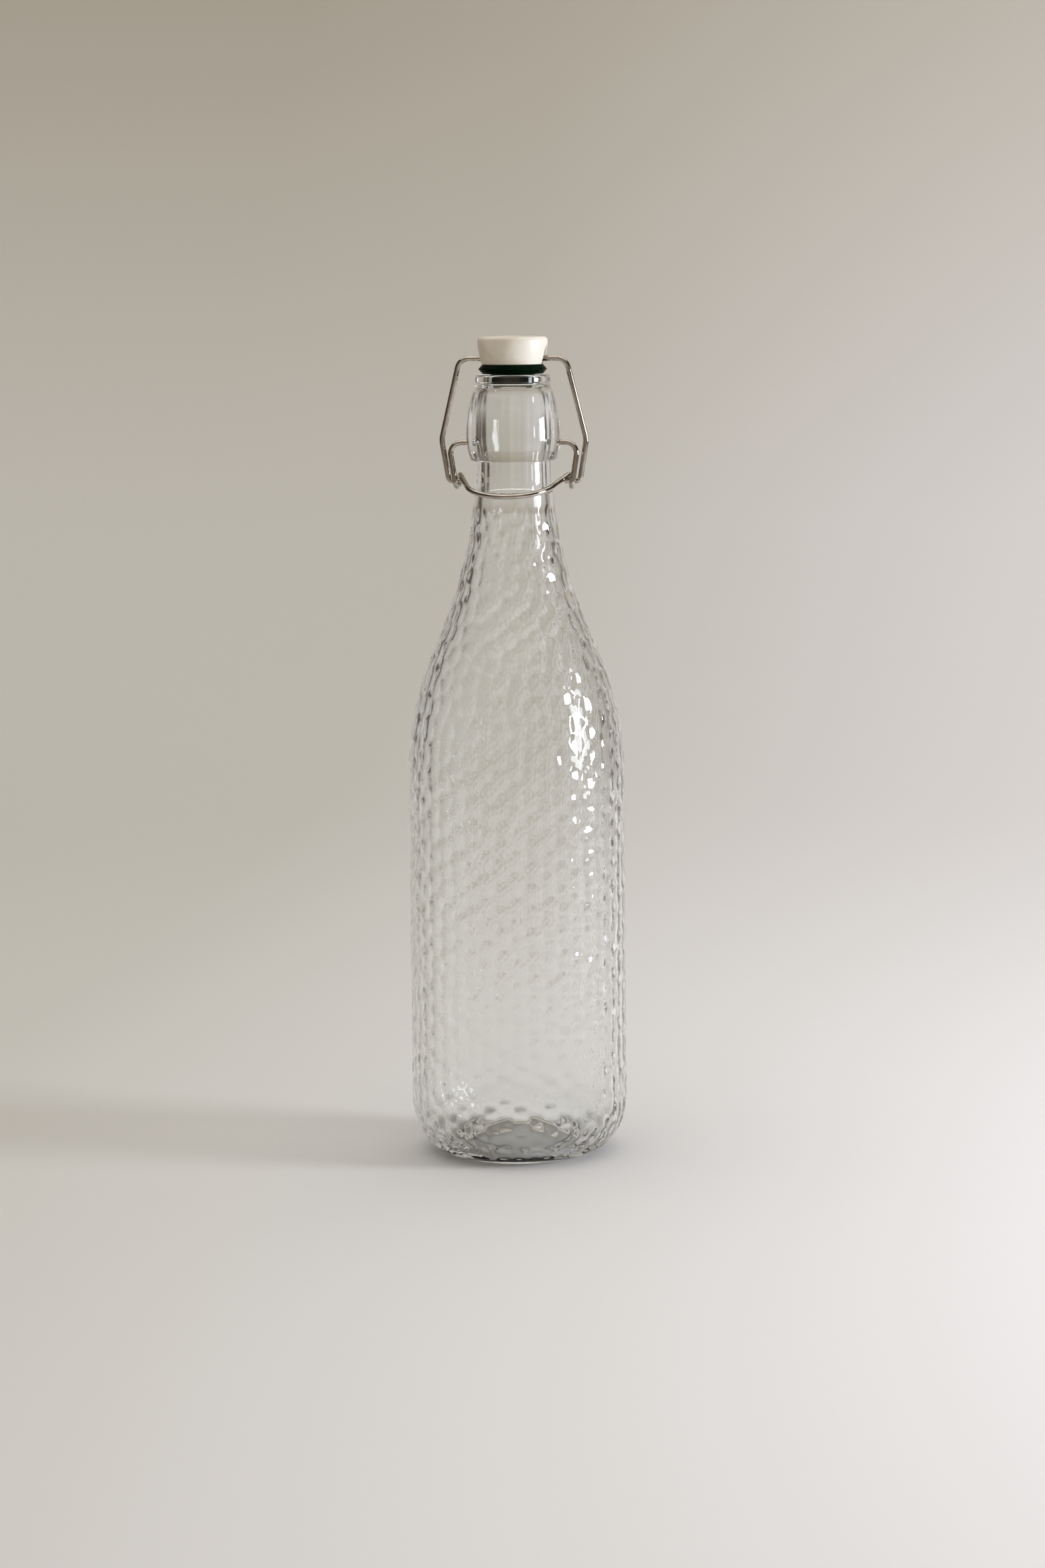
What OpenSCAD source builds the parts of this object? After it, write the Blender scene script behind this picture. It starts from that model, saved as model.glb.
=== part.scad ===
// Swing-top glass water bottle: blown bottle, stopper, rubber gasket, wire bail and wire lever.
// Millimetres. The base stands on z = 0 round the Z axis, the closure's handle faces -Y and its
// wires pivot about lines along X.

/* [Bottle] */
// Outer diameter of the body
body_d = 84; // [78:0.5:90]
// Height of the glass rim above the table
rim_z = 302.3; // [296:0.1:306]
// Thickness of the side wall
wall = 3; // [2:0.1:4]
// Thickness of the floor at its middle
floor_t = 3.2; // [3:0.1:6]
// Height of the rounded heel
heel_h = 21; // [12:1:26]
// Outer radius of the flat ring that the bottle stands on
foot_r = 25; // [22:0.5:30]
// Height of the hollow under the base
punt_h = 6.2; // [4:0.1:7]

/* [Shoulder and neck] */
// Height at which the shoulder starts to curve in
shoulder_z = 148; // [140:1:152]
// Radius of the bulging upper body
shoulder_r = 125; // [115:1:130]
// Radius of the hollow curve that leads into the neck
neck_curve_r = 173; // [160:1:185]
// Diameter of the neck under the finish
neck_d = 28.8; // [27:0.2:30]

/* [Finish] */
// Largest diameter of the barrel-shaped finish
finish_d = 36.2; // [35:0.2:38]
// Height of the finish from its lower edge to the rim
finish_h = 32.8; // [31:0.1:34]
// Inner diameter of the mouth
mouth_d = 18.6; // [18.4:0.1:19]
// Height of the lip's straight throat
throat_h = 4.2; // [3:0.1:5]
// Diameter of the wire sockets moulded into the finish
socket_d = 2.26; // [2.14:0.02:2.3]
// Depth of the wire sockets from the widest diameter
socket_depth = 3.8; // [3:0.1:4.5]

/* [Closure] */
// Thickness of the steel wire
wire_d = 2.1; // [1.9:0.05:2.1]
// Height of the lever's pivots above the table
pivot_z = 276.5; // [275:0.1:278]
// Distance from the lever's pivots down to its eyes
eye_drop = 14.85; // [14:0.05:16]
// Distance of the eyes behind the pivots when shut
eye_back = 2.2; // [2:0.05:2.4]
// Height of the stopper's wire hole above the table
bail_z = 308.45; // [308.3:0.05:308.8]
// Half the width of the bail at its widest
bail_half_w = 28; // [27.6:0.1:29]
// How far the handle reaches out in front of the neck's axis
handle_reach = 23; // [22:0.5:26]
// Downward tilt of the handle in degrees
handle_tilt = 15.5; // [12:0.5:18]

/* [Stopper] */
// Diameter of the stopper's head
head_d = 26.9; // [26:0.1:28]
// Height of the head above the gasket
head_h = 10.5; // [10.2:0.05:11.5]
// Width of the side slots that the bail drops into
slot_w = 6.4; // [5:0.2:8]
// Diameter of the gasket at its sharp edge
gasket_d = 26.4; // [25:0.1:27]
// Thickness of the gasket's flange
gasket_t = 3.55; // [3.2:0.05:3.8]
// Diameter of the plug under the flange
plug_d = 16.3; // [15:0.1:16.5]
// Depth of the plug below the flange
plug_h = 4.75; // [4:0.05:5]

/* [Hidden] */
$fn = 64;

// --- shared places ---
wire_r = wire_d / 2;
seat_gap = 0.35;                       // clear space between gasket and rim when shut
flange_z = rim_z + seat_gap;           // underside of the gasket's flange
head_z = flange_z + gasket_t;          // underside of the stopper's head
eye_z = pivot_z - eye_drop;
eye_clearance = 0.1;                   // between the bail's end and the lever's eye
eye_r = 2 * wire_r + eye_clearance;    // from the eye's axis to the middle of its wire
hole_clearance = 0.08;                 // round the bail in the stopper

// --- glass ---
body_r = body_d / 2;
neck_r = neck_d / 2;
finish_r = finish_d / 2;
mouth_r = mouth_d / 2;
finish_z = rim_z - finish_h;           // lower edge of the finish
bulge_z = finish_z + 9.2;              // where the finish is widest
bulge_low_r = 23;                      // curve of the finish below that height
bulge_high_r = 52;                     // and above it
finish_edge = 1.1;                     // rounding of the lower edge
lip_r = 14.5;
lip_h = 3.3;
lip_groove = 0.45;                     // depth of the groove under the lip
rim_round = 1.2;
mouth_round = 0.7;
neck_bore_r = 10.6;
barrel_bore_r = 11.8;                  // the bore opens out inside the finish
ring_w = 2.2;                          // width of the flat standing ring
ring_round = 1.5;
ring_lift = 0.6;                       // from the table to the rim of the hollow under the base
inner_heel_r = 15;                     // reach of the inside corner's curve in from the wall
inner_heel_z = 3.8;                    // level that the curve falls towards
socket_flare = 0.9;                    // depth of the funnel at a socket's mouth
socket_flare_r = 1.9;

// Points of an arc about centre c from angle a0 to a1
function arc(c, r, a0, a1, n) =
    [for (i = [0:n]) c + r * [cos(a0 + (a1 - a0) * i / n), sin(a0 + (a1 - a0) * i / n)]];

// The shoulder arc and the neck arc share a tangent line at this angle
shoulder_c = [body_r - shoulder_r, shoulder_z];
neck_c = [neck_r + neck_curve_r, finish_z + 4.1];
between = neck_c - shoulder_c;
tangent_a = atan2(between.y, between.x)
    - acos((shoulder_r + neck_curve_r) / norm(between));

// Side curve from the heel to the neck, moved inward by t
function side(t, top_z) = concat(
    arc(shoulder_c, shoulder_r - t, 0, tangent_a, 12),
    [for (p = arc(neck_c, neck_curve_r + t, 180 + tangent_a, 180, 12)) if (p.y < top_z) p]);

// Heel: a quarter ellipse from the standing ring up to the side wall
function heel(n) = [for (i = [0:n])
    [foot_r + (body_r - foot_r) * sin(90 * i / n), heel_h * (1 - cos(90 * i / n))]];

// A shallow dome of height h over radius r, from its rim to the axis
function dome(r, h, z, n) = [for (i = [0:n]) [r * (1 - i / n), z + h * (1 - pow(1 - i / n, 2))]];

// Outside of the finish, from its lower edge to the lip
low_edge_r = finish_r - bulge_low_r * (1 - cos(asin((bulge_z - finish_z - finish_edge) / bulge_low_r)));
lip_z = rim_z - lip_h;
function finish_outline() = concat(
    [[neck_r + 0.1, finish_z]],
    arc([low_edge_r - finish_edge, finish_z + finish_edge], finish_edge, -80, -15, 4),
    arc([finish_r - bulge_low_r, bulge_z], bulge_low_r,
        -asin((bulge_z - finish_z - finish_edge) / bulge_low_r), 0, 6),
    [for (p = arc([finish_r - bulge_high_r, bulge_z], bulge_high_r, 3, 22, 10))
        if (p.y < lip_z - 0.6) p],
    [[lip_r - lip_groove, lip_z], [lip_r, lip_z + 0.7]],
    arc([lip_r - rim_round, rim_z - rim_round], rim_round, 0, 90, 6));

// Inside of the mouth, from the rim down to the neck's bore
function mouth_outline() = concat(
    arc([mouth_r + mouth_round, rim_z - mouth_round], mouth_round, 90, 180, 4),
    [[mouth_r, rim_z - throat_h]],
    [[barrel_bore_r - 0.5, rim_z - throat_h - 3.2], [barrel_bore_r, rim_z - throat_h - 6]],
    [[barrel_bore_r, bulge_z - 1], [neck_bore_r, finish_z]]);

inner_floor_z = ring_lift + punt_h + floor_t;
inner_r = body_r - wall;
function inner_side() = side(wall, finish_z - 12);

// Inside corner: an ellipse that keeps the heel about as thick as the wall
function inner_heel(a) = [inner_r - inner_heel_r * (1 - cos(a)),
    heel_h + 1 - (heel_h + 1 - inner_heel_z) * sin(a)];
corner_end = inner_heel(82);
function inner_floor() = concat(
    [for (i = [0:10]) inner_heel(8.2 * i)],
    dome(corner_end.x - 0.01, inner_floor_z - corner_end.y, corner_end.y, 6));

function reversed(list) = [for (i = [len(list) - 1:-1:0]) list[i]];

module socket(side) {
    translate([side * (finish_r + 1), 0, pivot_z]) rotate([0, -90 * side, 0]) {
        cylinder(d = socket_d, h = socket_depth + 1);
        cylinder(r1 = socket_flare_r + 1, r2 = socket_d / 2, h = socket_flare + 1);
    }
}

module bottle() {
    color([0.86, 0.9, 0.88, 0.45]) difference() {
        rotate_extrude($fn = 96) polygon(concat(
            reversed(dome(foot_r - ring_w - ring_round, punt_h, ring_lift, 8)),
            arc([foot_r - ring_w, ring_round], ring_round, -145, -90, 3),
            heel(12),
            side(0, finish_z),
            finish_outline(),
            mouth_outline(),
            reversed(inner_side()),
            inner_floor()));
        socket(-1);
        socket(1);
    }
}

// --- stopper ---
head_r = head_d / 2;
head_top_z = head_z + head_h;
head_round = 1.5;                      // rounding of the top edge
head_side_r = 27;                      // bulge of the head's side
head_crown = 0.4;                      // rise of the top at its middle
stem_r = 4;
stem_head_r = 5.2;                     // button that holds the gasket on
stem_head_h = 1.4;
plug_z = flange_z - plug_h;            // underside of the plug
slot_floor = 9.4;                      // from the axis to the bottom of a slot
slot_top_z = head_top_z - 3.2;

module stopper() {
    side_z = head_top_z - head_round;
    side_a = asin((side_z - head_z) / head_side_r);
    color([0.93, 0.91, 0.87]) difference() {
        union() {
            rotate_extrude() polygon(concat(
                [[0, head_z]],
                arc([head_r - head_side_r, side_z], head_side_r, -side_a, 0, 8),
                arc([head_r - head_round, side_z], head_round, 12, 84, 6),
                dome(head_r - head_round, head_crown, head_top_z, 5)));
            translate([0, 0, plug_z + stem_head_h]) cylinder(r = stem_r, h = head_z - plug_z - 1);
            translate([0, 0, plug_z]) cylinder(r = stem_head_r, h = stem_head_h);
        }
        translate([-head_r - 1, 0, bail_z]) rotate([0, 90, 0])
            cylinder(d = wire_d + 2 * hole_clearance, h = head_d + 2);
        for (side = [-1, 1]) stopper_slot(side);
    }
}

module stopper_slot(side) {
    slot_r = slot_w / 2;
    translate([side * (slot_floor + 5), 0, 0]) {
        translate([-5, 0, slot_top_z - slot_r]) rotate([0, 90, 0]) cylinder(d = slot_w, h = 10);
        translate([-5, -slot_r, head_z - 1]) cube([10, slot_w, slot_top_z - slot_r - head_z + 1]);
    }
}

// --- gasket ---
gasket_r = gasket_d / 2;
flange_flat_r = gasket_r - 1.6;
plug_r = plug_d / 2;

module gasket() {
    color([0.02, 0.12, 0.08]) rotate_extrude() polygon([
        [stem_r, head_z], [flange_flat_r, head_z],
        [gasket_r, flange_z + gasket_t / 2], [flange_flat_r, flange_z],
        [plug_r + 0.6, flange_z], [plug_r, flange_z - 0.6],
        [plug_r - 0.2, plug_z + 0.9], [plug_r - 1, plug_z],
        [stem_head_r, plug_z], [stem_head_r, plug_z + stem_head_h],
        [stem_r, plug_z + stem_head_h]]);
}

// --- wires ---
bend_overlap = 0.08;
bend_wire_r = 0.985 * wire_r;
function unit(v) = v / norm(v);

// How far a bend of radius r starts before corner b of the path a, b, c
function bend_reach(a, b, c, r) = r * tan(acos(unit(b - a) * unit(c - b)) / 2);

// Straight wire from a to b, reaching a little into the bend at each end
module wire_run(a, b) {
    v = b - a;
    translate(a - bend_overlap * unit(v)) rotate([0, acos(v.z / norm(v)), atan2(v.y, v.x)])
        cylinder(r = wire_r, h = norm(v) + 2 * bend_overlap, $fn = 48);
}

// Bent wire of centre radius r round corner b of the path a, b, c. Bending draws it a hair thinner.
module wire_bend(a, b, c, r) {
    u = unit(b - a);
    v = unit(c - b);
    inward = unit(v - (u * v) * u);
    axis = cross(u, inward);
    centre = b - bend_reach(a, b, c, r) * u + r * inward;
    multmatrix([[-inward.x, u.x, axis.x, centre.x],
                [-inward.y, u.y, axis.y, centre.y],
                [-inward.z, u.z, axis.z, centre.z]])
        rotate_extrude(angle = acos(u * v), $fn = 96) translate([r, 0]) circle(r = bend_wire_r, $fn = 48);
}

// Wire through points p, bent at each inner point with the radius of the same place in radii
module wire(p, radii) {
    last = len(p) - 1;
    reach = [for (i = [0:last])
        i == 0 || i == last ? 0 : bend_reach(p[i - 1], p[i], p[i + 1], radii[i])];
    for (i = [0:last - 1]) {
        u = unit(p[i + 1] - p[i]);
        wire_run(p[i] + reach[i] * u, p[i + 1] - reach[i + 1] * u);
    }
    for (i = [1:last - 1]) wire_bend(p[i - 1], p[i], p[i + 1], radii[i]);
}

function mirrored(p) = [for (i = [len(p) - 1:-1:0]) [-p[i].x, p[i].y, p[i].z]];

// A point of the bail's plane, x out from the middle and h down from the stopper's hole
bail_drop = bail_z - eye_z;
function on_bail(x, h) = [x, eye_back * h / bail_drop, bail_z - h];
bail_corner_x = 20.5;
bail_wide_h = 31;                      // depth at which the bail is widest
bail_foot_x = 25.4;
bail_tip_x = 19.4;

module bail() {
    half = [on_bail(bail_tip_x, bail_drop), on_bail(bail_foot_x, bail_drop),
            on_bail(bail_half_w, bail_wide_h), on_bail(bail_corner_x, 0)];
    bends = [0, 1.7, 9, 4.6];
    color([0.75, 0.73, 0.7]) wire(concat(half, mirrored(half)), concat(bends, reversed(bends)));
}

pin_tip_x = finish_r - socket_depth + 0.3;
arm_top_x = 25.1;
eye_front_x = 22.4;
eye_rear_x = 21.9;
eye_top_x = 21.7;
handle_corner_x = 12.5;
eye_front_y = eye_back - eye_r;
eye_rear_y = eye_back + eye_r;
// The handle leaves the eye along its upper tangent
eye_top_z = eye_z + eye_r * (1 / cos(handle_tilt) + tan(handle_tilt));
handle_z = eye_top_z - (handle_reach + eye_rear_y) * tan(handle_tilt);

module lever() {
    half = [[pin_tip_x, 0, pivot_z],
            [arm_top_x, 0, pivot_z],
            [eye_front_x, eye_front_y, eye_z - eye_r],
            [eye_rear_x, eye_rear_y, eye_z - eye_r],
            [eye_top_x, eye_rear_y, eye_top_z],
            [handle_corner_x, -handle_reach, handle_z]];
    bends = [0, 4.4, eye_r * 0.97, eye_r * 0.97, eye_r * 0.97, 17];
    color([0.75, 0.73, 0.7]) wire(concat(half, mirrored(half)), concat(bends, reversed(bends)));
}

bottle();
stopper();
gasket();
bail();
lever();
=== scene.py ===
"""Looks of the swing-top glass bottle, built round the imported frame. Metres, in the CAD's frame.

Shapes are drawn in millimetres with the CAD's driving dimensions and scaled once, in mesh_piece().
"""
import math

import bpy
import numpy as np
from mathutils import Matrix, Vector


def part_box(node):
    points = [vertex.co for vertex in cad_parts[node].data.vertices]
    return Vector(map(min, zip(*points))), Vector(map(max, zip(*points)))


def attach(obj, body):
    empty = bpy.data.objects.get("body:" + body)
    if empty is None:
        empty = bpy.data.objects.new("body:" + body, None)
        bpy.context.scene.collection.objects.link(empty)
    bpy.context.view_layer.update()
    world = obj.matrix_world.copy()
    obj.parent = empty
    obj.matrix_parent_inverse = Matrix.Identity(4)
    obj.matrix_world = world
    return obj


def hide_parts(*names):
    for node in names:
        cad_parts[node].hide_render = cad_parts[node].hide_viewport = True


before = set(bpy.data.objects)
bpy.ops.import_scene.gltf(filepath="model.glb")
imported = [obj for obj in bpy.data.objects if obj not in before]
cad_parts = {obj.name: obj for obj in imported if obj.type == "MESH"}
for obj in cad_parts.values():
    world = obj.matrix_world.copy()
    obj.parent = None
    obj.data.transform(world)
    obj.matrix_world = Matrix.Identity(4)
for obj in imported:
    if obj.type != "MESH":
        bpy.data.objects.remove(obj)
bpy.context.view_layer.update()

MM = 0.001
rng = np.random.default_rng(7)

# --- driving dimensions of the CAD, mm ---
BODY_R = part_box("bottle")[1].x / MM
RIM_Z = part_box("bottle")[1].z / MM
WALL, HEEL_H, FOOT_R, PUNT_R, PUNT_H, RING_LIFT = 3, 21, 25, 21.3, 6.2, 0.6
FLOOR_Z, FLOOR_EDGE, HEEL_IN = 10, 3.8, 24
SHOULDER_Z, SHOULDER_R, NECK_CURVE_R, NECK_R = 148, 125, 173, 14.4
FINISH_R, FINISH_Z, MOUTH_R, THROAT_H = 18.1, RIM_Z - 32.8, 9.3, 4.2
SOCKET_R, SOCKET_DEPTH = 1.13, 3.8
WIRE_R, PIVOT_Z, EYE_Z, EYE_BACK, BAIL_Z = 1.05, 276.5, 261.65, 2.2, 308.45
EYE_R = 2 * WIRE_R + 0.1
HANDLE_REACH, HANDLE_TILT = 23, math.radians(15.5)
FLANGE_Z, GASKET_T, GASKET_R, PLUG_R, PLUG_H = RIM_Z + 0.35, 3.55, 13.2, 8.15, 4.75


# --- mesh helpers ---
def arc(c, r, a0, a1, n):
    """Points of an arc about c, from angle a0 to a1 in degrees."""
    a = np.radians(np.linspace(a0, a1, n + 1))
    return np.c_[c[0] + r * np.cos(a), c[1] + r * np.sin(a)]


def along(points, step):
    """A polyline resampled at about the given step, keeping its ends."""
    points = np.asarray(points, float)
    s = np.r_[0, np.cumsum(np.linalg.norm(np.diff(points, axis=0), axis=1))]
    at = np.linspace(0, s[-1], max(2, int(round(s[-1] / step)) + 1))
    return np.c_[np.interp(at, s, points[:, 0]), np.interp(at, s, points[:, 1])]


def rounded(points, radii, steps=5):
    """A polyline with its inner corners rounded; radii are given per corner."""
    p = np.asarray(points, float)
    out = [p[0]]
    for a, b, c, r in zip(p, p[1:], p[2:], radii):
        u, v = (b - a) / np.linalg.norm(b - a), (c - b) / np.linalg.norm(c - b)
        turn = math.acos(max(-1, min(1, u @ v)))
        reach = r * math.tan(turn / 2)
        inward = v - (u @ v) * u
        inward /= np.linalg.norm(inward)
        centre = b - reach * u + r * inward
        for t in np.linspace(0, turn, steps + 1):
            out.append(centre + r * (math.sin(t) * u - math.cos(t) * inward))
    out.append(p[-1])
    return np.array(out)


def mesh_piece(name, verts, faces, sharp=50):
    mesh = bpy.data.meshes.new(name)
    mesh.from_pydata((np.asarray(verts, float) * MM).tolist(), [], faces)
    mesh.shade_smooth()
    mesh.set_sharp_from_angle(angle=math.radians(sharp))
    obj = bpy.data.objects.new(name, mesh)
    bpy.context.scene.collection.objects.link(obj)
    return obj


def ring_points(r, z, n, offset=0.0):
    """A ring of n points; r and z are numbers or one value per point."""
    a = np.arange(n) * 2 * math.pi / n
    return np.c_[r * np.cos(a), r * np.sin(a), np.broadcast_to(z, n) + offset]


def skin(rings):
    """Vertices and faces of a closed surface from pole to pole, through rings of points.

    A ring may have twice or half as many points as the one before.
    """
    faces = []
    first = np.cumsum([0] + [len(ring) for ring in rings]).tolist()
    for a, b, ring_a, ring_b in zip(first, first[1:], rings, rings[1:]):
        n, m = len(ring_a), len(ring_b)
        if n == 1:
            faces += [(a, b + (j + 1) % m, b + j) for j in range(m)]
        elif m == 1:
            faces += [(a + j, a + (j + 1) % n, b) for j in range(n)]
        elif n == m:
            faces += [(a + j, a + (j + 1) % n, b + (j + 1) % m, b + j) for j in range(n)]
        elif n == 2 * m:
            for j in range(m):
                p, q, r = a + 2 * j, a + 2 * j + 1, a + (2 * j + 2) % n
                faces += [(p, q, b + j), (q, b + (j + 1) % m, b + j), (q, r, b + (j + 1) % m)]
        else:
            for j in range(n):
                p, q, r = b + 2 * j, b + 2 * j + 1, b + (2 * j + 2) % m
                faces += [(q, p, a + j), (a + j, a + (j + 1) % n, q), (r, q, a + (j + 1) % n)]
    return np.vstack(rings), faces


def lathe(profile, n):
    """A closed solid of revolution; profile runs from the axis to the axis."""
    rings = [np.array([[0, 0, z]]) if r < 1e-6 else ring_points(r, z, n) for r, z in profile]
    return skin(rings)


# --- glass ---
shoulder_c = np.array([BODY_R - SHOULDER_R, SHOULDER_Z])
neck_c = np.array([NECK_R + NECK_CURVE_R, FINISH_Z + 4.1])
between = neck_c - shoulder_c
tangent_a = math.degrees(math.atan2(between[1], between[0])
                         - math.acos((SHOULDER_R + NECK_CURVE_R) / np.linalg.norm(between)))


def side(t):
    """Side curve from the heel's top to the neck, moved inward by t."""
    return np.vstack([arc(shoulder_c, SHOULDER_R - t, 0, tangent_a, 40),
                      arc(neck_c, NECK_CURVE_R + t, 180 + tangent_a, 180, 60)])


def heel():
    a = np.radians(np.linspace(0, 90, 40))
    return np.c_[FOOT_R + (BODY_R - FOOT_R) * np.sin(a), HEEL_H * (1 - np.cos(a))]


def cell_scale(r):
    """Size of the hollows at radius r: smaller on the neck."""
    return np.interp(r, [14, 30], [0.76, 1.0])


def turn_from(angle, centres):
    """Signed angles from the centres (columns) to the given angles (rows), in -pi..pi."""
    return (angle[:, None] - centres + math.pi) % (2 * math.pi) - math.pi


def cell_centres(s, r):
    """Centres (angle, height along the side) of the pressed hollows: staggered rings, evened out."""
    centres, at, k = [], s[0] + 1.2, 0
    while at < s[-1] - 0.5:
        radius = np.interp(at, s, r)
        n = int(round(2 * math.pi * radius / (CELL_GAP * cell_scale(radius))))
        n = max(8, min(BODY_CELLS, n))
        turn = (k % 2) * math.pi / n + (0 if n == BODY_CELLS else 0.37 * k)
        centres += [(turn + 2 * math.pi * j / n, at) for j in range(n)]
        at += CELL_PITCH * cell_scale(radius)
        k += 1
    centres = np.array(centres)
    body = np.interp(centres[:, 1], s, r) > BODY_R - 0.05
    probes = 240
    angle = np.arange(probes) * 2 * math.pi / probes
    for _ in range(8):
        # each centre moves towards the middle of the area nearest to it
        total, weight = np.zeros((len(centres), 2)), np.zeros(len(centres))
        for h in np.arange(s[0], s[-1], 0.9):
            radius = np.interp(h, s, r)
            index = np.flatnonzero(np.abs(centres[:, 1] - h) < 12)
            turn = turn_from(angle, centres[index, 0])
            best = np.argmin((turn * radius * STRETCH) ** 2 + (h - centres[index, 1]) ** 2, axis=1)
            which = index[best]
            offset = np.c_[turn[np.arange(probes), best], np.full(probes, h) - centres[which, 1]]
            np.add.at(total, which, offset * radius)
            np.add.at(weight, which, radius)
        move = total / np.maximum(weight, 1)[:, None]
        centres += np.where(body[:, None], 0.3, 0.8) * move
    jitter = rng.normal(0, 1, centres.shape)
    centres[:, 0] += 0.7 * jitter[:, 0] / np.interp(centres[:, 1], s, r)
    centres[:, 1] += 0.8 * jitter[:, 1]
    return centres


CELL_GAP, BODY_CELLS = 12.0, 22    # gap between hollows in a ring, mm, and how many the body's rings have
CELL_PITCH = 4.25    # gap between rings, mm
CELL_REACH = 4.907   # from a hollow's middle to its corners, mm
STRETCH = 1.25       # the hollows are this much taller than wide
HOLLOW = 0.66         # depth of a hollow from its corners, mm
FINE, COARSE = 400, 200            # points round a ring

OUTSIDE = along(np.vstack([heel(), side(0)[1:]]), 0.95)
OUTSIDE[-1, 0] = NECK_R
RUN = np.r_[0, np.cumsum(np.linalg.norm(np.diff(OUTSIDE, axis=0), axis=1))]
START, STOP = np.interp([3.0, 253.5], OUTSIDE[:, 1], RUN)    # the pressed part, between these heights
PRESSED = (RUN >= START) & (RUN <= STOP)
CENTRES = cell_centres(RUN[PRESSED], OUTSIDE[PRESSED, 0])
LIFT = rng.normal(0, 0.07, len(CENTRES))


def hollow_depth(run, r, sharpness):
    """How far the hollows press the wall inward round one ring, run mm along the side."""
    fade = min(1, max(0, (run - START) / 2.5)) * min(1, max(0, (STOP - run) / 3.5))
    index = np.flatnonzero(np.abs(CENTRES[:, 1] - run) < 13)
    if fade == 0 or not len(index):
        return np.zeros(FINE)
    scale = cell_scale(r)
    turn = turn_from(np.arange(FINE) * 2 * math.pi / FINE, CENTRES[index, 0])
    d = ((turn * r * STRETCH) ** 2 + (run - CENTRES[index, 1]) ** 2) / (CELL_REACH * scale) ** 2 + LIFT[index]
    soft = -np.log(np.exp(-sharpness * d).sum(axis=1)) / sharpness
    return HOLLOW * scale * fade * fade * (3 - 2 * fade) * np.clip(1 - soft, 0, 2)


def outer_rings():
    """The outside from the standing ring to the neck, with its hollows pressed inward."""
    tangent = np.gradient(OUTSIDE, axis=0)
    tangent /= np.linalg.norm(tangent, axis=1)[:, None]
    rings = []
    for run, (r, z), (along_r, along_z) in zip(RUN, OUTSIDE, tangent):
        depth = hollow_depth(run, r, 6)
        ring = ring_points(r - depth * along_z, z, FINE)
        ring[:, 2] = z + depth * along_r
        rings.append(ring)
    return [rings[0][::2]] + rings[1:-1] + [rings[-1][::2]]


WAVES = [(k, rng.uniform(0, 2 * math.pi), rng.uniform(0.02, 0.06) * (1 + k / 6), rng.uniform(0, 2 * math.pi))
         for k in (1, 2, 3, 4, 5, 6, 7, 9, 12, 15, 19, 24)]


def inner_ring(r, z, n):
    """A ring of the inside: never quite true, softly following the hollows, streaked in the bore."""
    a = np.arange(n) * 2 * math.pi / n
    wave = sum(np.sin(k * a + p + z * f * 2) * np.sin(z * f + q) / k ** 0.8 for k, p, f, q in WAVES)
    out = r + 0.03 * wave * min(1, r / 20) ** 2
    bore = min(1, max(0, (z - FINISH_Z + 15) / 9)) * min(1, max(0, (RIM_Z - 6 - z) / 5))
    out = out + 0.03 * bore * (np.sin(11 * a) + np.sin(17 * a + 2.3) + np.sin(26 * a + 4))
    if n == FINE:
        out = out - 0.12 * min(1, max(0, (z - 5) / 12)) * hollow_depth(
            np.interp(z, OUTSIDE[:, 1], RUN), np.interp(z, OUTSIDE[:, 1], OUTSIDE[:, 0]), 3.5)
    return ring_points(out, z, n)


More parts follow.
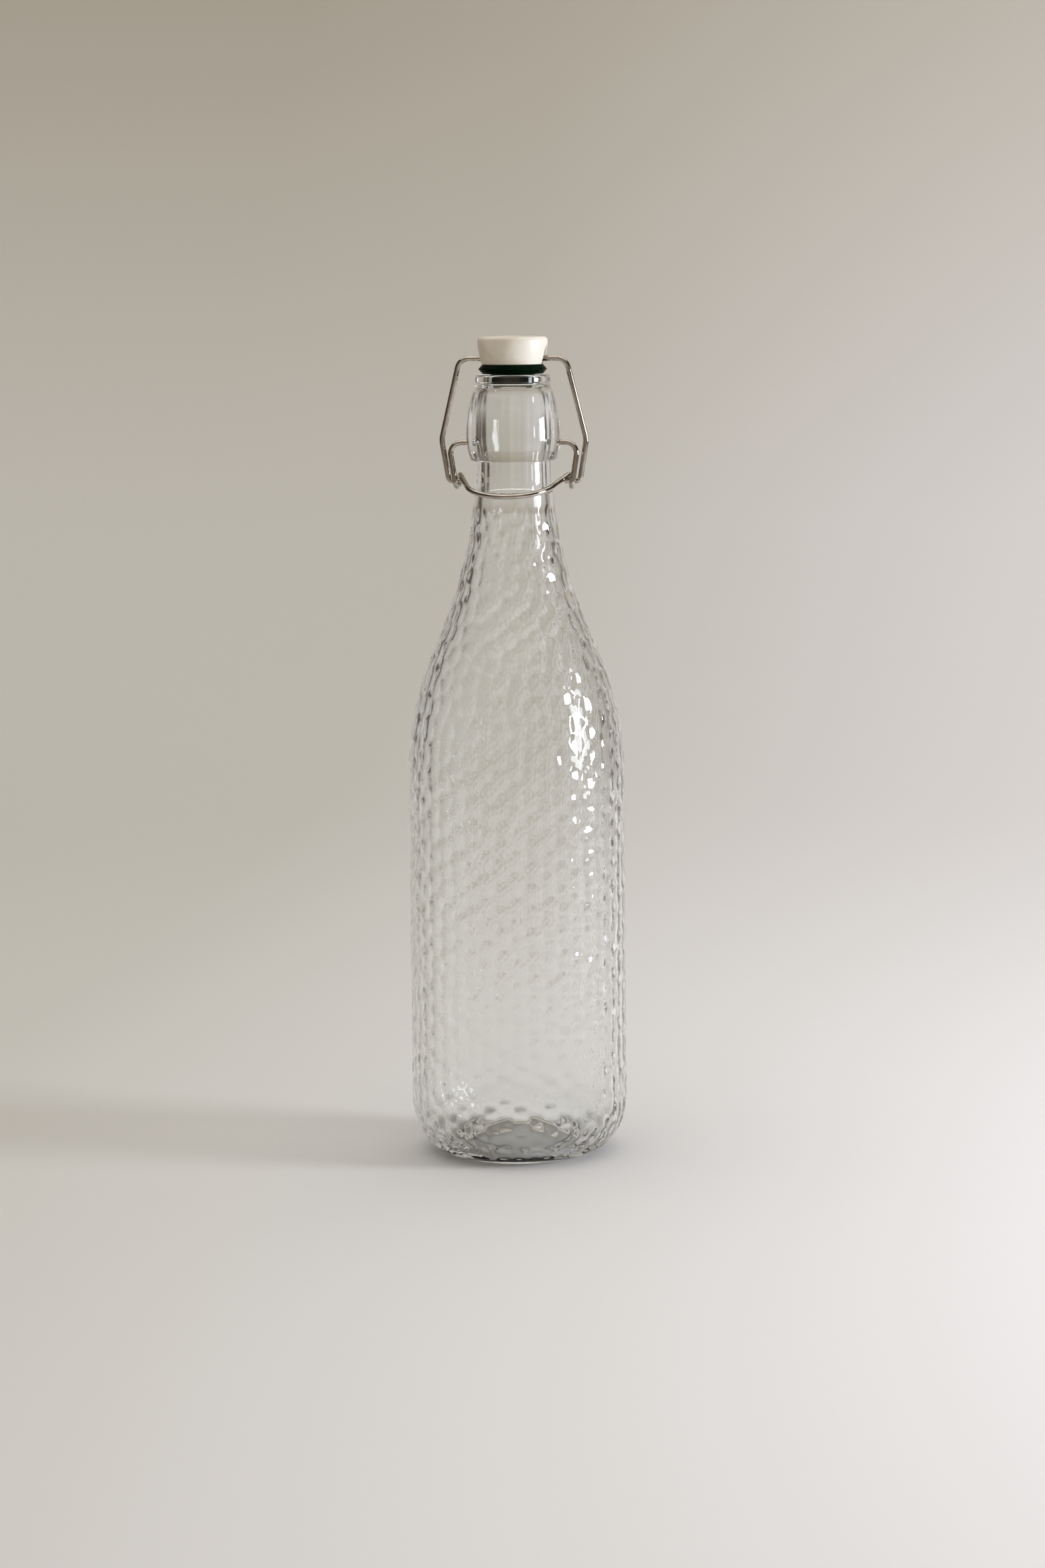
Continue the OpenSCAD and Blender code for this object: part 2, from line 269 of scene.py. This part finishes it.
def glass_rings():
    """The glass as rings: from under the base up the outside, and down the inside to the floor."""
    base = np.vstack([[[0, RING_LIFT + PUNT_H]],
                      [(r, RING_LIFT + PUNT_H * (1 - (r / PUNT_R) ** 2))
                       for r in np.linspace(1.5, PUNT_R, 12)],
                      arc([FOOT_R - 2.2, 1.5], 1.5, -145, -90, 5)])
    lower_r, upper_r, widest = 23, 52, FINISH_Z + 9.2      # the barrel's two curves meet where it is widest
    lower_a = math.asin(8.1 / lower_r)
    finish = np.vstack([
        [[NECK_R + 0.25, FINISH_Z + 0.05]],
        arc([FINISH_R - lower_r * (1 - math.cos(lower_a)) - 1.1, FINISH_Z + 1.1], 1.1, -85, -15, 7),
        arc([FINISH_R - lower_r, widest], lower_r, -math.degrees(lower_a), 0, 9),
        [p for p in arc([FINISH_R - upper_r, widest], upper_r, 1.5, 22, 18) if p[1] < RIM_Z - 3.9],
        rounded([[14.6, RIM_Z - 3.6], [14.05, RIM_Z - 3.3], [14.5, RIM_Z - 2.6], [14.5, RIM_Z - 1.6]],
                [0.3, 0.6], 4)[1:],
        arc([14.5 - 1.2, RIM_Z - 1.2], 1.2, 0, 90, 8),
        arc([MOUTH_R + 0.7, RIM_Z - 0.7], 0.7, 90, 180, 6)])
    bore = along(rounded([[MOUTH_R, RIM_Z - 0.8], [MOUTH_R, RIM_Z - THROAT_H], [11.3, RIM_Z - 7.4],
                          [11.8, RIM_Z - 11], [11.8, FINISH_Z + 8.2], [10.6, FINISH_Z],
                          [10.9, FINISH_Z - 12]], [3, 3, 6, 20, 20], 8), 1.6)
    inner = side(WALL)
    inner = along(inner[inner[:, 1] < FINISH_Z - 12][::-1], 1.6)
    a = np.radians(np.linspace(90, 8, 24))
    corner = np.c_[HEEL_IN + (BODY_R - WALL - HEEL_IN) * np.sin(a),
                   HEEL_H + 1 - (HEEL_H + 1 - FLOOR_EDGE) * np.cos(a)]
    rim = corner[-1]
    inner_floor = np.array([(r, FLOOR_Z - (FLOOR_Z - rim[1]) * (r / rim[0]) ** 2)
                            for r in np.linspace(rim[0], 1.5, 14)])

    rings = [ring_points(r, z, COARSE) if r > 0 else np.array([[0, 0, z]]) for r, z in base]
    rings += outer_rings()
    rings += [ring_points(r, z, COARSE) for r, z in finish]
    rings += [inner_ring(r, z, COARSE) for r, z in bore]
    rings += [inner_ring(r, z, FINE) for r, z in np.vstack([inner, corner])]
    rings += [inner_ring(r, z, COARSE) for r, z in inner_floor[1:]]
    rings.append(np.array([[0, 0, FLOOR_Z]]))
    return rings


def cut(piece, cutter):
    """Takes the cutter's shape out of the piece and removes the cutter."""
    modifier = piece.modifiers.new("cut", "BOOLEAN")
    modifier.operation, modifier.object, modifier.solver = "DIFFERENCE", cutter, "MANIFOLD"
    apply_modifiers(piece)
    bpy.data.objects.remove(cutter)


def apply_modifiers(piece):
    bpy.context.view_layer.update()
    mesh = bpy.data.meshes.new_from_object(piece.evaluated_get(bpy.context.evaluated_depsgraph_get()))
    piece.modifiers.clear()
    piece.data = mesh


def along_x(verts, x, z):
    """Turns a lathe shape about Z into one about X, at height z."""
    v = np.asarray(verts, float)
    return np.c_[v[:, 2] + x, v[:, 1], z - v[:, 0]]


glass = mesh_piece("glass_bottle", *skin(glass_rings()), sharp=60)
for way in (-1, 1):
    tip = FINISH_R - SOCKET_DEPTH
    profile = np.array([(0, tip), (SOCKET_R - 0.2, tip), (SOCKET_R, tip + 0.2), (SOCKET_R, FINISH_R - 0.9),
                        (1.35, FINISH_R - 0.4), (2.2, FINISH_R + 0.2), (3.0, FINISH_R + 1),
                        (0, FINISH_R + 1)])
    verts, faces = lathe(profile, 48)
    verts = along_x(verts, 0, PIVOT_Z)
    verts[:, 0] *= way
    if way < 0:
        faces = [f[::-1] for f in faces]
    cut(glass, mesh_piece("socket", verts, faces))
glass.data.shade_smooth()
glass.data.set_sharp_from_angle(angle=math.radians(60))


# --- stopper and gasket ---
def moulded(name, node, voxel, passes):
    """A copy of a CAD node with its edges softened as moulding leaves them."""
    piece = bpy.data.objects.new(name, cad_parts[node].data.copy())
    bpy.context.scene.collection.objects.link(piece)
    piece.data.materials.clear()
    weld = piece.modifiers.new("weld", "WELD")
    weld.merge_threshold = 0.000002
    remesh = piece.modifiers.new("remesh", "REMESH")
    remesh.mode, remesh.voxel_size = "VOXEL", voxel * MM
    smooth = piece.modifiers.new("smooth", "SMOOTH")
    smooth.factor, smooth.iterations = 0.5, passes
    apply_modifiers(piece)
    piece.data.shade_smooth()
    return piece


stopper = moulded("stopper_head", "stopper", 0.2, 6)

gasket_profile = rounded(
    [[3.9, FLANGE_Z + GASKET_T], [GASKET_R - 1.6, FLANGE_Z + GASKET_T], [GASKET_R, FLANGE_Z + GASKET_T / 2],
     [GASKET_R - 1.6, FLANGE_Z], [PLUG_R + 0.7, FLANGE_Z], [PLUG_R, FLANGE_Z - 0.7],
     [PLUG_R - 0.2, FLANGE_Z - PLUG_H + 0.9], [PLUG_R - 1, FLANGE_Z - PLUG_H],
     [5.25, FLANGE_Z - PLUG_H], [5.25, FLANGE_Z - PLUG_H + 1.35], [3.9, FLANGE_Z - PLUG_H + 1.35]],
    [0.3, 0.28, 0.3, 0.3, 0.4, 0.4, 0.4, 0.15, 0.1], 5)


def ring_solid(profile, n):
    """A closed solid ring from a profile that doesn't meet the axis."""
    rings = np.array([ring_points(r, z, n) for r, z in profile])
    rows = len(rings)
    faces = [(i * n + j, i * n + (j + 1) % n, (i + 1) % rows * n + (j + 1) % n, (i + 1) % rows * n + j)
             for i in range(rows) for j in range(n)]
    return rings.reshape(-1, 3), [f[::-1] for f in faces]


gasket = mesh_piece("gasket_ring", *ring_solid(gasket_profile, 160), sharp=50)


# --- wires ---
def bent_path(points, radii, step=4):
    """Centre line of a bent wire: straight runs and circular bends, like the CAD's."""
    p = [np.array(q, float) for q in points]
    corners = [p[0]]
    for a, b, c, r in zip(p, p[1:], p[2:], radii[1:]):
        u, v = (b - a) / np.linalg.norm(b - a), (c - b) / np.linalg.norm(c - b)
        turn = math.acos(u @ v)
        reach = r * math.tan(turn / 2)
        inward = v - (u @ v) * u
        inward /= np.linalg.norm(inward)
        centre = b - reach * u + r * inward
        corners += [centre + r * (math.sin(t) * u - math.cos(t) * inward)
                    for t in np.linspace(0, turn, max(4, int(math.degrees(turn) / step)) + 1)]
    corners.append(p[-1])
    path = [corners[0]]
    for q in corners[1:]:
        start, gap = path[-1], np.linalg.norm(q - path[-1])
        if gap > 0.02:
            path += [start + t * (q - start) for t in np.linspace(0, 1, int(gap / 1.5) + 2)[1:]]
    return np.array(path)


def wire(name, points, radii, sides=20):
    """A round wire with cut, slightly broken ends, and its length kept for the material."""
    path = bent_path(points, radii)
    tangent = np.gradient(path, axis=0)
    tangent /= np.linalg.norm(tangent, axis=1)[:, None]
    up = np.cross(tangent[0], [0, 0, 1.0])
    if np.linalg.norm(up) < 0.1:
        up = np.cross(tangent[0], [0, 1.0, 0])
    s = np.r_[0, np.cumsum(np.linalg.norm(np.diff(path, axis=0), axis=1))]
    ends = [(0, 0.0, WIRE_R - 0.22), (0, 0.06, WIRE_R - 0.08), (0, 0.2, WIRE_R)]
    stations = ([(path[0] + d * tangent[0], 0, r) for _, d, r in ends]
                + [(path[i], i, WIRE_R) for i in range(1, len(path) - 1)]
                + [(path[-1] - d * tangent[-1], len(path) - 1, r) for _, d, r in ends[::-1]])
    turn = np.arange(sides) * 2 * math.pi / sides
    rings, length = [path[0][None]], [0.0]
    for centre, i, r in stations:
        up = up - (up @ tangent[i]) * tangent[i]
        up /= np.linalg.norm(up)
        out = np.cross(tangent[i], up)
        rings.append(centre + r * (np.cos(turn)[:, None] * up + np.sin(turn)[:, None] * out))
        length.append(s[i])
    rings.append(path[-1][None])
    length.append(s[-1])
    verts, faces = skin(rings)
    piece = mesh_piece(name, verts, faces, sharp=40)
    run = piece.data.attributes.new("run", "FLOAT", "POINT")
    run.data.foreach_set("value", np.repeat(length, [len(r) for r in rings]).astype(np.float32))
    return piece


def both_sides(half, bends):
    """Points and bends of a whole wire from its +X half, which ends at the middle."""
    return half + [[-x, y, z] for x, y, z in half[::-1]], bends + bends[::-1]


BAIL_DROP = BAIL_Z - EYE_Z


def on_bail(x, h):
    return [x, EYE_BACK * h / BAIL_DROP, BAIL_Z - h]


bail = wire("bail_wire", *both_sides(
    [on_bail(19.4, BAIL_DROP), on_bail(25.4, BAIL_DROP), on_bail(28, 31), on_bail(20.5, 0)],
    [0, 1.7, 9, 4.6]))
eye_top = EYE_Z + EYE_R * (1 / math.cos(HANDLE_TILT) + math.tan(HANDLE_TILT))
handle_z = eye_top - (HANDLE_REACH + EYE_BACK + EYE_R) * math.tan(HANDLE_TILT)
lever = wire("lever_wire", *both_sides(
    [[FINISH_R - SOCKET_DEPTH + 0.3, 0, PIVOT_Z], [25.1, 0, PIVOT_Z],
     [22.4, EYE_BACK - EYE_R, EYE_Z - EYE_R], [21.9, EYE_BACK + EYE_R, EYE_Z - EYE_R],
     [21.7, EYE_BACK + EYE_R, eye_top], [12.5, -HANDLE_REACH, handle_z]],
    [0, 4.4, EYE_R * 0.97, EYE_R * 0.97, EYE_R * 0.97, 17]))


# --- materials ---
class Nodes:
    """Short calls for a node tree."""

    def __init__(self, name):
        self.material = bpy.data.materials.new(name)
        self.material.use_nodes = True
        self.tree = self.material.node_tree
        self.shader = self.tree.nodes["Principled BSDF"]

    def add(self, kind, **values):
        node = self.tree.nodes.new("ShaderNode" + kind)
        for key, value in values.items():
            if key in node.inputs:
                node.inputs[key].default_value = value
            else:
                setattr(node, key, value)
        return node

    def link(self, source, target):
        self.tree.links.new(source, target)

    def noise(self, scale, detail=3.0, source=None, **values):
        node = self.add("TexNoise", Scale=scale, Detail=detail, **values)
        self.link(source or self.add("TexCoord").outputs["Object"], node.inputs["Vector"])
        return node.outputs["Fac"]

    def ramp(self, source, stops):
        node = self.add("ValToRGB")
        for i, (at, colour) in enumerate(stops):
            stop = node.color_ramp.elements[i] if i < 2 else node.color_ramp.elements.new(at)
            stop.position, stop.color = at, (*colour, 1)
        self.link(source, node.inputs["Fac"])
        return node.outputs["Color"]

    def bump(self, source, distance, strength=1.0, under=None):
        node = self.add("Bump", Strength=strength, Distance=distance)
        self.link(source, node.inputs["Height"])
        if under:
            self.link(under, node.inputs["Normal"])
        return node.outputs["Normal"]

    def finish(self, **sockets):
        for key, value in sockets.items():
            socket = self.shader.inputs[key.replace("_", " ")]
            if isinstance(value, bpy.types.NodeSocket):
                self.link(value, socket)
            else:
                socket.default_value = value
        return self.material


def grey(v):
    return (v, v, v)


def glass_material():
    m = Nodes("clear_glass")
    ripple = m.bump(m.noise(90, 2), 0.00012, 0.6)
    fine = m.bump(m.noise(700, 2), 0.00001, 0.5, ripple)
    rough = m.ramp(m.noise(240, 4), [(0.35, grey(0.0)), (0.75, grey(0.025))])
    return m.finish(Base_Color=(0.970, 0.975, 0.970, 1), Roughness=rough, Normal=fine,
                    Transmission_Weight=1.0, IOR=1.5)


def stopper_material():
    m = Nodes("white_stopper")
    stain = m.ramp(m.noise(55, 4, Distortion=0.6), [(0.38, (0.80, 0.71, 0.58)), (0.58, (0.92, 0.875, 0.79))])
    rough = m.ramp(m.noise(420, 4), [(0.3, grey(0.3)), (0.7, grey(0.42))])
    flow = m.bump(m.noise(220, 3), 0.00006, 0.5)
    pits = m.bump(m.noise(2600, 2), 0.00001, 0.4, flow)
    return m.finish(Base_Color=stain, Roughness=rough, Normal=pits, IOR=1.5, Coat_Weight=0.15,
                    Coat_Roughness=0.2, Subsurface_Weight=0.15, Subsurface_Scale=0.002)


def rubber_material():
    m = Nodes("green_rubber")
    colour = m.ramp(m.noise(500, 4), [(0.3, (0.0006, 0.004, 0.0012)), (0.7, (0.0014, 0.009, 0.003))])
    rough = m.ramp(m.noise(900, 3), [(0.3, grey(0.24)), (0.7, grey(0.36))])
    grain = m.bump(m.noise(3500, 3), 0.00003, 0.35)
    return m.finish(Base_Color=colour, Roughness=rough, Normal=grain, IOR=1.45, Specular_IOR_Level=0.02)


def wire_material():
    m = Nodes("bright_wire")
    place = m.add("CombineXYZ")
    m.link(m.add("Attribute", attribute_name="run").outputs["Fac"], place.inputs["X"])
    stretch = m.add("VectorMath", operation="MULTIPLY")
    stretch.inputs[1].default_value = (0.12, 0.12, 0.12)
    m.link(place.outputs["Vector"], stretch.inputs[0])
    shift = m.add("VectorMath", operation="MULTIPLY_ADD")
    shift.inputs[1].default_value = (900, 900, 900)
    m.link(m.add("TexCoord").outputs["Object"], shift.inputs[0])
    m.link(stretch.outputs["Vector"], shift.inputs[2])
    mottle = m.noise(260, 4)
    colour = m.ramp(mottle, [(0.3, (0.38, 0.345, 0.305)), (0.75, (0.60, 0.56, 0.51))])
    rough = m.ramp(m.noise(1.2, 4, source=shift.outputs["Vector"]), [(0.3, grey(0.06)), (0.75, grey(0.16))])
    drawn = m.bump(m.noise(900, 3), 0.00003, 0.35)
    return m.finish(Base_Color=colour, Roughness=rough, Normal=drawn, Metallic=1.0)


METAL = wire_material()
for piece, node, body, slot, material in (
        (glass, "bottle", "glass", "clear_glass", glass_material()),
        (stopper, "stopper", "plug", "white_stopper", stopper_material()),
        (gasket, "gasket", "plug", "green_rubber", rubber_material()),
        (bail, "bail", "bail_wire", "bright_wire", METAL),
        (lever, "lever", "lever_wire", "bright_wire", METAL)):
    piece.data.materials.clear()
    piece.data.materials.append(material)
    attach(piece, body)
    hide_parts(node)


# --- stage ---
# floor colours with painted light and shade: darker on the left, lighter on the right where the window's
# light falls
FLOOR_PAINTED_SHADE_LEFT, FLOOR_PAINTED_LIGHT_RIGHT = (0.66, 0.65, 0.62), (0.91, 0.905, 0.95)
# wall colours with painted shade: darker than the floor, and darkest on the left away from the window
WALL_PAINTED_SHADE_LEFT, WALL_PAINTED_SHADE_RIGHT = (0.455, 0.41, 0.34), (0.77, 0.745, 0.69)
LOW_FAR = (0.46, 0.46, 0.46)        # floor beyond the window's side of the view
# the room round the sides is painted dark as shade, a little lighter straight ahead; the fade and aside
# values set where the paper gives way to it
ROOM_PAINTED_SHADE, ROOM_AHEAD_PAINTED_SHADE = (0.10, 0.083, 0.067), (0.44, 0.38, 0.30)
FADE_START, FADE_END = 0.6, 1.6      # where the paper gives way to the room, metres from the bottle
ASIDE_START, ASIDE_END = 0.90, 0.62  # and how far aside, as a cosine from straight behind


def studio_bowl(inner=0.95, rise=1.6, height=2.5):
    """A floor disc whose edge curves up into a round wall."""
    profile = [(r, 0.0) for r in np.linspace(0, inner, 8)]
    profile += [(inner + rise * math.sin(a), rise * (1 - math.cos(a)))
                for a in np.radians(np.linspace(5, 90, 18))]
    profile += [(inner + rise, z) for z in np.linspace(rise + 0.3, height, 4)]
    rings = [np.array([[0, 0, 0.0]]) if r == 0 else ring_points(r / MM, z / MM, 96) for r, z in profile]
    verts, faces = skin(rings)
    return mesh_piece("studio", verts, [f[::-1] for f in faces], sharp=180)


def paper_with_painted_light_material():
    """Pale paper on the floor and up the wall behind the bottle, with painted light and shade: lighter to the
    right where the window's light falls, darker to the left and up the wall; the room on the other sides
    painted dark as shade.
    """
    m = Nodes("paper")
    place = m.add("SeparateXYZ")
    m.link(m.add("TexCoord").outputs["Object"], place.inputs[0])
    flat = m.add("CombineXYZ")
    m.link(place.outputs["X"], flat.inputs["X"])
    m.link(place.outputs["Y"], flat.inputs["Y"])
    reach = m.add("VectorMath", operation="LENGTH")
    m.link(flat.outputs[0], reach.inputs[0])
    sector = m.add("Math", operation="DIVIDE")       # 1 straight behind the bottle, -1 in front of it
    m.link(place.outputs["Y"], sector.inputs[0])
    m.link(reach.outputs["Value"], sector.inputs[1])

    def gradient(source, start, end, kind="LINEAR"):
        node = m.add("MapRange", interpolation_type=kind)
        node.inputs["From Min"].default_value, node.inputs["From Max"].default_value = start, end
        m.link(source, node.inputs["Value"])
        return node.outputs[0]

    room_shade_share = m.add("Math", operation="MULTIPLY")
    m.link(gradient(reach.outputs["Value"], FADE_START, FADE_END, "SMOOTHSTEP"), room_shade_share.inputs[0])
    m.link(gradient(sector.outputs[0], ASIDE_START, ASIDE_END, "SMOOTHSTEP"), room_shade_share.inputs[1])
    # painted light and shade on the floor: darker to the left, lighter to the right where the window's light
    # falls, darker again further right
    floor_painted_light_and_shade = m.ramp(gradient(place.outputs["X"], -0.26, 0.94),
                 [(0, FLOOR_PAINTED_SHADE_LEFT), (0.433, FLOOR_PAINTED_LIGHT_RIGHT), (0.7, FLOOR_PAINTED_LIGHT_RIGHT), (1, LOW_FAR)])
    # painted shade up the wall, darker to the left
    wall = m.ramp(gradient(place.outputs["X"], -0.5, 0.6), [(0, WALL_PAINTED_SHADE_LEFT), (1, WALL_PAINTED_SHADE_RIGHT)])
    # the wall colours take over with height: painted shade darkening up the wall
    paper = m.add("MixRGB")
    m.link(floor_painted_light_and_shade, paper.inputs["Color1"])
    m.link(wall, paper.inputs["Color2"])
    m.link(gradient(place.outputs["Z"], 0.14, 0.76), paper.inputs["Fac"])
    both = m.add("MixRGB")
    # painted shade: the room on the other sides, darkest to the sides, a little lighter straight ahead
    room = m.ramp(gradient(sector.outputs[0], -1, 1), [(0.04, ROOM_AHEAD_PAINTED_SHADE), (0.16, ROOM_PAINTED_SHADE)])
    m.link(room_shade_share.outputs[0], both.inputs["Fac"])
    m.link(paper.outputs[0], both.inputs["Color1"])
    m.link(room, both.inputs["Color2"])
    return m.finish(Base_Color=both.outputs[0], Roughness=0.9)


bowl = studio_bowl()
bowl.data.materials.append(paper_with_painted_light_material())

# --- light: a low window on the right, a pale room above ---
WINDOW_AZIMUTH, WINDOW_DISTANCE, WINDOW_Z = math.radians(84), 1.12, 0.32
light = bpy.data.lights.new("window", "AREA")
light.shape, light.size, light.size_y = "RECTANGLE", 0.30, 0.36
light.energy, light.color = 9.5, (0.90, 0.945, 1.0)
lamp = bpy.data.objects.new("window", light)
side_x, side_y = math.sin(WINDOW_AZIMUTH), -math.cos(WINDOW_AZIMUTH)
lamp.location = (side_x * WINDOW_DISTANCE, side_y * WINDOW_DISTANCE, WINDOW_Z)
lamp.rotation_mode = "QUATERNION"
lamp.rotation_quaternion = Vector((-side_x, -side_y, 0)).to_track_quat("-Z", "Y")
bpy.context.scene.collection.objects.link(lamp)

world = bpy.data.worlds.new("room")
world.use_nodes = True
world.node_tree.nodes["Background"].inputs["Color"].default_value = (1.0, 0.964, 0.898, 1)
world.node_tree.nodes["Background"].inputs["Strength"].default_value = 1.22
bpy.context.scene.world = world
bpy.context.scene.view_settings.view_transform = "Standard"
paths = bpy.context.scene.cycles      # thick glass turns black at its edges with fewer bounces
paths.max_bounces = paths.transmission_bounces = paths.glossy_bounces = 24

# --- camera ---
camera = bpy.data.objects.new("camera", bpy.data.cameras.new("camera"))
bpy.context.scene.collection.objects.link(camera)
camera.data.lens, camera.data.sensor_width = 85, 36
CAMERA_AZIMUTH = math.radians(8)
DISTANCE, EYE_HEIGHT, PITCH, ROLL, SIDESTEP = 1.423, 0.337, math.radians(7.71), math.radians(-0.553), 0.00223
right = Vector((math.cos(CAMERA_AZIMUTH), math.sin(CAMERA_AZIMUTH), 0))
ahead = Vector((-math.sin(CAMERA_AZIMUTH), math.cos(CAMERA_AZIMUTH), 0))
ahead = (ahead * DISTANCE + right * SIDESTEP).normalized()
right = Vector((ahead.y, -ahead.x, 0))
look = ahead * math.cos(PITCH) - Vector((0, 0, math.sin(PITCH)))
up = right.cross(look)
side_way = right * math.cos(ROLL) + up * math.sin(ROLL)
up_way = up * math.cos(ROLL) - right * math.sin(ROLL)
camera.matrix_world = Matrix.Translation(
    Vector((math.sin(CAMERA_AZIMUTH) * DISTANCE, -math.cos(CAMERA_AZIMUTH) * DISTANCE, EYE_HEIGHT))
) @ Matrix((side_way, up_way, -look)).transposed().to_4x4()
bpy.context.scene.camera = camera
